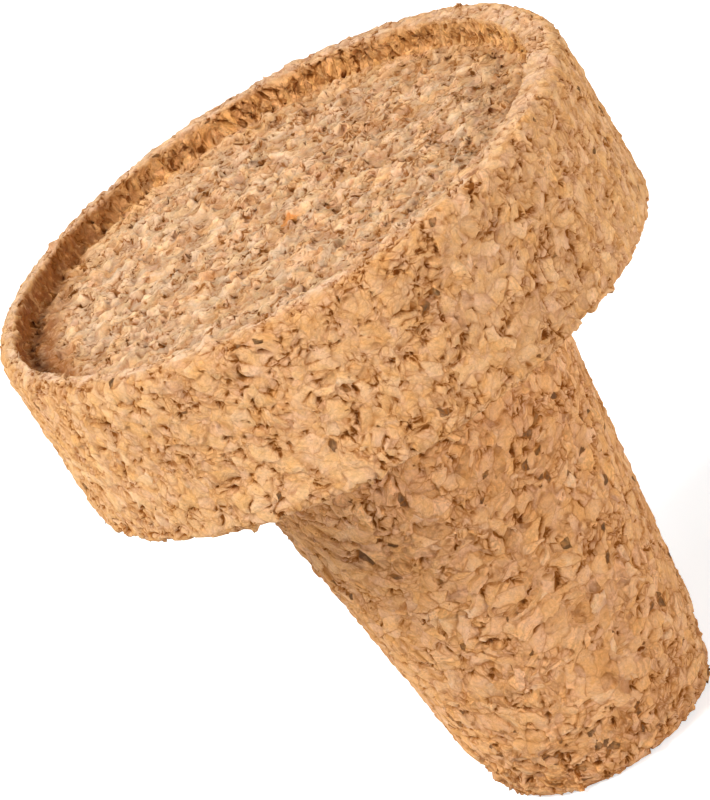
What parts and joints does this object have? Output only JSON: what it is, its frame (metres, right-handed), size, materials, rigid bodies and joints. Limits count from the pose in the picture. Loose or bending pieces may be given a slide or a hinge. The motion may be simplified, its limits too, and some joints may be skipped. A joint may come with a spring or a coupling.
{
  "type": "cork stopper",
  "caption": "Bottle stopper of bonded cork: a broad round head with a shallow recess in its top, on a tapered shank with a bevelled end.",
  "frame": {"origin": "centre of the flat end of the shank, on which the stopper stands", "axes": "+Z along the stopper's axis, from the end of the shank up through the head; -X is the side towards which the recess sits off the axis"},
  "size_m": [0.036, 0.036, 0.0389],
  "materials": {
    "cork": "matte"
  },
  "bodies": {
    "root": {"stopper": "cork"}
  },
  "joints": []
}
